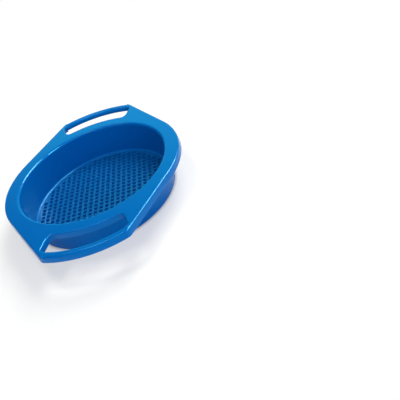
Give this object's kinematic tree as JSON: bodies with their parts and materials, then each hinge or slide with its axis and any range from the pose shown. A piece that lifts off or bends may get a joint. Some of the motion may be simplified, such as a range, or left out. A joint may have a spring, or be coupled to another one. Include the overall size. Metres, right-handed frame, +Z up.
{
  "type": "sand sieve",
  "caption": "Shallow round moulded sand sieve with a square-holed floor, a flat rim and an ear with a finger slot and rounded grip bar at each end.",
  "frame": {"origin": "centre of the foot ring's underside, on the plane that the sieve stands on", "axes": "+Z up, out of the bowl's mouth; the two ears with the grip bars lie along +Y (back) and -Y (front); +X to the right, across the bowl"},
  "size_m": [0.2114, 0.2738, 0.041],
  "materials": {
    "blue_plastic": "glossy moulded polypropylene"
  },
  "bodies": {
    "root": {"bowl_wall": "blue_plastic", "mesh_floor": "blue_plastic", "rim_flange": "blue_plastic", "right_skirt": "blue_plastic", "left_skirt": "blue_plastic", "back_grip": "blue_plastic", "front_grip": "blue_plastic", "back_slot_collar": "blue_plastic", "front_slot_collar": "blue_plastic"}
  },
  "joints": []
}
